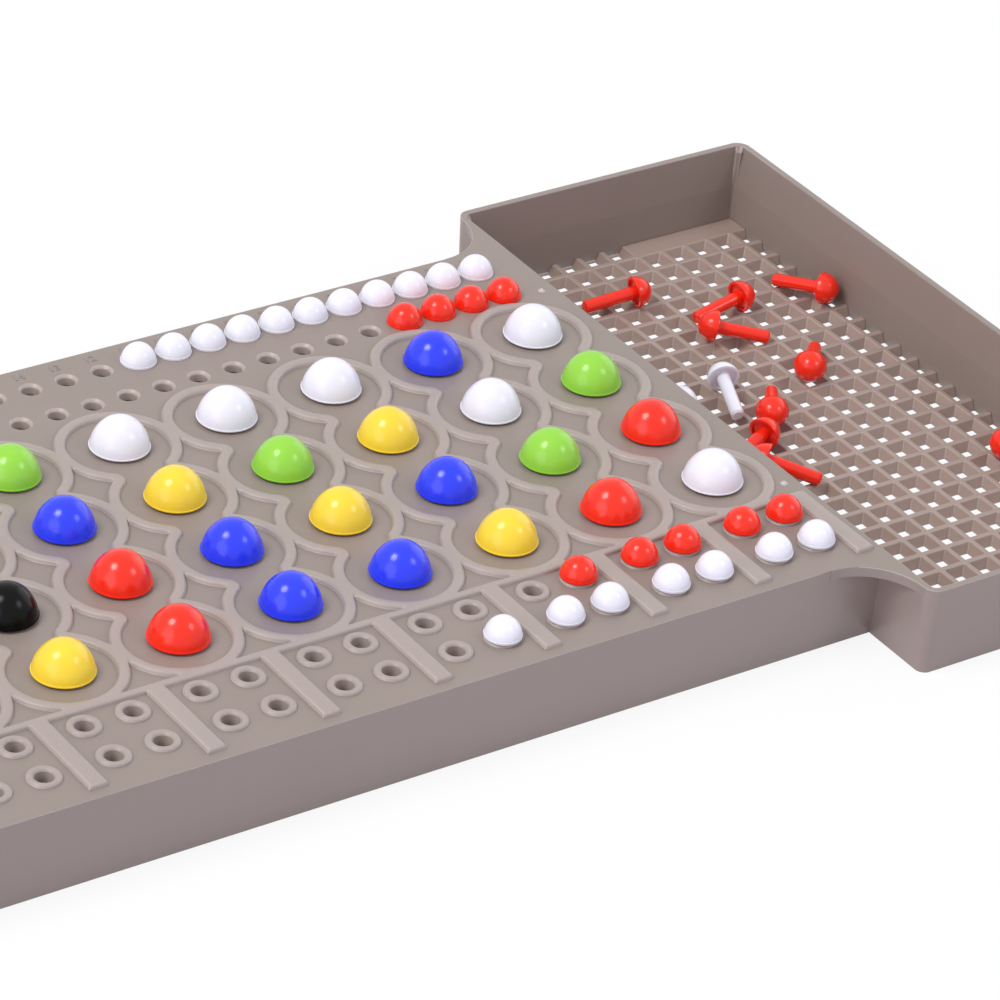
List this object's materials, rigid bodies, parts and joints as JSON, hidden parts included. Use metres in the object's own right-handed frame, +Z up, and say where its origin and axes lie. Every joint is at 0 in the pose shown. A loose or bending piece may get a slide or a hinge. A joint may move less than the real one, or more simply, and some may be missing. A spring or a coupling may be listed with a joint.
{
  "type": "code-breaking puzzle",
  "caption": "Long moulded peg board with ridged code wells, key holes, score tracks, a lattice-floored peg tray, a hinged code shield and lift-out coloured pegs.",
  "frame": {"origin": "centre of the board's bounding box in plan, on the table plane under it", "axes": "+X along the board towards the peg tray, +Y to the score-track side, +Z up out of the deck"},
  "size_m": [0.3648, 0.1614, 0.0359],
  "materials": {
    "board_grey": "fine satin injection-moulded polystyrene",
    "peg_white": "glossy moulded polystyrene, slight mould line",
    "peg_green": "glossy moulded polystyrene, slight mould line",
    "peg_red": "glossy moulded polystyrene, slight mould line",
    "peg_blue": "glossy moulded polystyrene, slight mould line",
    "peg_yellow": "glossy moulded polystyrene, slight mould line",
    "peg_black": "glossy moulded polystyrene, slight mould line"
  },
  "bodies": {
    "board": {"deck_plate": "board_grey", "near_wall": "board_grey", "far_wall": "board_grey", "end_wall": "board_grey", "peg_tray": "board_grey", "tray_grid": "board_grey", "hinge_lugs": "board_grey"},
    "code_shield": {"shield_roof": "board_grey", "shield_cheek_near": "board_grey", "shield_cheek_far": "board_grey"},
    "body_secret_a": {"secret_a": "peg_yellow"},
    "body_secret_b": {"secret_b": "peg_green"},
    "body_secret_c": {"secret_c": "peg_blue"},
    "body_secret_d": {"secret_d": "peg_red"},
    "body_guess_1a": {"guess_1a": "peg_white"},
    "body_guess_1b": {"guess_1b": "peg_green"},
    "body_guess_1c": {"guess_1c": "peg_red"},
    "body_guess_1d": {"guess_1d": "peg_white"},
    "body_guess_2a": {"guess_2a": "peg_blue"},
    "body_guess_2b": {"guess_2b": "peg_white"},
    "body_guess_2c": {"guess_2c": "peg_green"},
    "body_guess_2d": {"guess_2d": "peg_red"},
    "body_guess_3a": {"guess_3a": "peg_white"},
    "body_guess_3b": {"guess_3b": "peg_yellow"},
    "body_guess_3c": {"guess_3c": "peg_blue"},
    "body_guess_3d": {"guess_3d": "peg_yellow"},
    "body_guess_4a": {"guess_4a": "peg_white"},
    "body_guess_4b": {"guess_4b": "peg_green"},
    "body_guess_4c": {"guess_4c": "peg_yellow"},
    "body_guess_4d": {"guess_4d": "peg_blue"},
    "body_guess_5a": {"guess_5a": "peg_white"},
    "body_guess_5b": {"guess_5b": "peg_yellow"},
    "body_guess_5c": {"guess_5c": "peg_blue"},
    "body_guess_5d": {"guess_5d": "peg_blue"},
    "body_guess_6a": {"guess_6a": "peg_green"},
    "body_guess_6b": {"guess_6b": "peg_blue"},
    "body_guess_6c": {"guess_6c": "peg_red"},
    "body_guess_6d": {"guess_6d": "peg_red"},
    "body_guess_7a": {"guess_7a": "peg_red"},
    "body_guess_7b": {"guess_7b": "peg_white"},
    "body_guess_7c": {"guess_7c": "peg_black"},
    "body_guess_7d": {"guess_7d": "peg_yellow"},
    "body_key_1_red": {"key_1_red": "peg_red"},
    "body_key_1_white": {"key_1_white": "peg_white"},
    "body_key_2_red": {"key_2_red": "peg_red"},
    "body_key_2_white": {"key_2_white": "peg_white"},
    "body_key_3_red": {"key_3_red": "peg_red"},
    "body_key_3_white": {"key_3_white": "peg_white"},
    "body_key_4_white": {"key_4_white": "peg_white"},
    "body_score_white": {"score_white": "peg_white"},
    "body_score_red": {"score_red": "peg_red"},
    "body_loose_red": {"loose_red": "peg_red"},
    "body_loose_white": {"loose_white": "peg_white"}
  },
  "joints": [
    {"name": "shield_hinge", "type": "hinge", "parent": "board", "child": "code_shield", "pos_m": [-0.17092, 0.00115, 0.0235], "axis": [0, -1, 0], "range_deg": [0, 100]},
    {"name": "lift_secret_a", "type": "slide", "parent": "board", "child": "body_secret_a", "axis": [0, 0, 1], "range_m": [0, 0.007]},
    {"name": "lift_secret_b", "type": "slide", "parent": "board", "child": "body_secret_b", "axis": [0, 0, 1], "range_m": [0, 0.007]},
    {"name": "lift_secret_c", "type": "slide", "parent": "board", "child": "body_secret_c", "axis": [0, 0, 1], "range_m": [0, 0.007]},
    {"name": "lift_secret_d", "type": "slide", "parent": "board", "child": "body_secret_d", "axis": [0, 0, 1], "range_m": [0, 0.007]},
    {"name": "lift_guess_1a", "type": "slide", "parent": "board", "child": "body_guess_1a", "axis": [0, 0, 1], "range_m": [0, 0.012]},
    {"name": "lift_guess_1b", "type": "slide", "parent": "board", "child": "body_guess_1b", "axis": [0, 0, 1], "range_m": [0, 0.012]},
    {"name": "lift_guess_1c", "type": "slide", "parent": "board", "child": "body_guess_1c", "axis": [0, 0, 1], "range_m": [0, 0.012]},
    {"name": "lift_guess_1d", "type": "slide", "parent": "board", "child": "body_guess_1d", "axis": [0, 0, 1], "range_m": [0, 0.012]},
    {"name": "lift_guess_2a", "type": "slide", "parent": "board", "child": "body_guess_2a", "axis": [0, 0, 1], "range_m": [0, 0.012]},
    {"name": "lift_guess_2b", "type": "slide", "parent": "board", "child": "body_guess_2b", "axis": [0, 0, 1], "range_m": [0, 0.012]},
    {"name": "lift_guess_2c", "type": "slide", "parent": "board", "child": "body_guess_2c", "axis": [0, 0, 1], "range_m": [0, 0.012]},
    {"name": "lift_guess_2d", "type": "slide", "parent": "board", "child": "body_guess_2d", "axis": [0, 0, 1], "range_m": [0, 0.012]},
    {"name": "lift_guess_3a", "type": "slide", "parent": "board", "child": "body_guess_3a", "axis": [0, 0, 1], "range_m": [0, 0.012]},
    {"name": "lift_guess_3b", "type": "slide", "parent": "board", "child": "body_guess_3b", "axis": [0, 0, 1], "range_m": [0, 0.012]},
    {"name": "lift_guess_3c", "type": "slide", "parent": "board", "child": "body_guess_3c", "axis": [0, 0, 1], "range_m": [0, 0.012]},
    {"name": "lift_guess_3d", "type": "slide", "parent": "board", "child": "body_guess_3d", "axis": [0, 0, 1], "range_m": [0, 0.012]},
    {"name": "lift_guess_4a", "type": "slide", "parent": "board", "child": "body_guess_4a", "axis": [0, 0, 1], "range_m": [0, 0.012]},
    {"name": "lift_guess_4b", "type": "slide", "parent": "board", "child": "body_guess_4b", "axis": [0, 0, 1], "range_m": [0, 0.012]},
    {"name": "lift_guess_4c", "type": "slide", "parent": "board", "child": "body_guess_4c", "axis": [0, 0, 1], "range_m": [0, 0.012]},
    {"name": "lift_guess_4d", "type": "slide", "parent": "board", "child": "body_guess_4d", "axis": [0, 0, 1], "range_m": [0, 0.012]},
    {"name": "lift_guess_5a", "type": "slide", "parent": "board", "child": "body_guess_5a", "axis": [0, 0, 1], "range_m": [0, 0.012]},
    {"name": "lift_guess_5b", "type": "slide", "parent": "board", "child": "body_guess_5b", "axis": [0, 0, 1], "range_m": [0, 0.012]},
    {"name": "lift_guess_5c", "type": "slide", "parent": "board", "child": "body_guess_5c", "axis": [0, 0, 1], "range_m": [0, 0.012]},
    {"name": "lift_guess_5d", "type": "slide", "parent": "board", "child": "body_guess_5d", "axis": [0, 0, 1], "range_m": [0, 0.012]},
    {"name": "lift_guess_6a", "type": "slide", "parent": "board", "child": "body_guess_6a", "axis": [0, 0, 1], "range_m": [0, 0.012]},
    {"name": "lift_guess_6b", "type": "slide", "parent": "board", "child": "body_guess_6b", "axis": [0, 0, 1], "range_m": [0, 0.012]},
    {"name": "lift_guess_6c", "type": "slide", "parent": "board", "child": "body_guess_6c", "axis": [0, 0, 1], "range_m": [0, 0.012]},
    {"name": "lift_guess_6d", "type": "slide", "parent": "board", "child": "body_guess_6d", "axis": [0, 0, 1], "range_m": [0, 0.012]},
    {"name": "lift_guess_7a", "type": "slide", "parent": "board", "child": "body_guess_7a", "axis": [0, 0, 1], "range_m": [0, 0.012]},
    {"name": "lift_guess_7b", "type": "slide", "parent": "board", "child": "body_guess_7b", "axis": [0, 0, 1], "range_m": [0, 0.012]},
    {"name": "lift_guess_7c", "type": "slide", "parent": "board", "child": "body_guess_7c", "axis": [0, 0, 1], "range_m": [0, 0.012]},
    {"name": "lift_guess_7d", "type": "slide", "parent": "board", "child": "body_guess_7d", "axis": [0, 0, 1], "range_m": [0, 0.012]},
    {"name": "lift_key_1_red", "type": "slide", "parent": "board", "child": "body_key_1_red", "axis": [0, 0, 1], "range_m": [0, 0.014]},
    {"name": "lift_key_1_white", "type": "slide", "parent": "board", "child": "body_key_1_white", "axis": [0, 0, 1], "range_m": [0, 0.014]},
    {"name": "lift_key_2_red", "type": "slide", "parent": "board", "child": "body_key_2_red", "axis": [0, 0, 1], "range_m": [0, 0.014]},
    {"name": "lift_key_2_white", "type": "slide", "parent": "board", "child": "body_key_2_white", "axis": [0, 0, 1], "range_m": [0, 0.014]},
    {"name": "lift_key_3_red", "type": "slide", "parent": "board", "child": "body_key_3_red", "axis": [0, 0, 1], "range_m": [0, 0.014]},
    {"name": "lift_key_3_white", "type": "slide", "parent": "board", "child": "body_key_3_white", "axis": [0, 0, 1], "range_m": [0, 0.014]},
    {"name": "lift_key_4_white", "type": "slide", "parent": "board", "child": "body_key_4_white", "axis": [0, 0, 1], "range_m": [0, 0.014]},
    {"name": "lift_score_white", "type": "slide", "parent": "board", "child": "body_score_white", "axis": [0, 0, 1], "range_m": [0, 0.014]},
    {"name": "lift_score_red", "type": "slide", "parent": "board", "child": "body_score_red", "axis": [0, 0, 1], "range_m": [0, 0.014]},
    {"name": "lift_loose_red", "type": "slide", "parent": "board", "child": "body_loose_red", "axis": [0, 0, 1], "range_m": [0, 0.02]},
    {"name": "lift_loose_white", "type": "slide", "parent": "board", "child": "body_loose_white", "axis": [0, 0, 1], "range_m": [0, 0.02]}
  ]
}
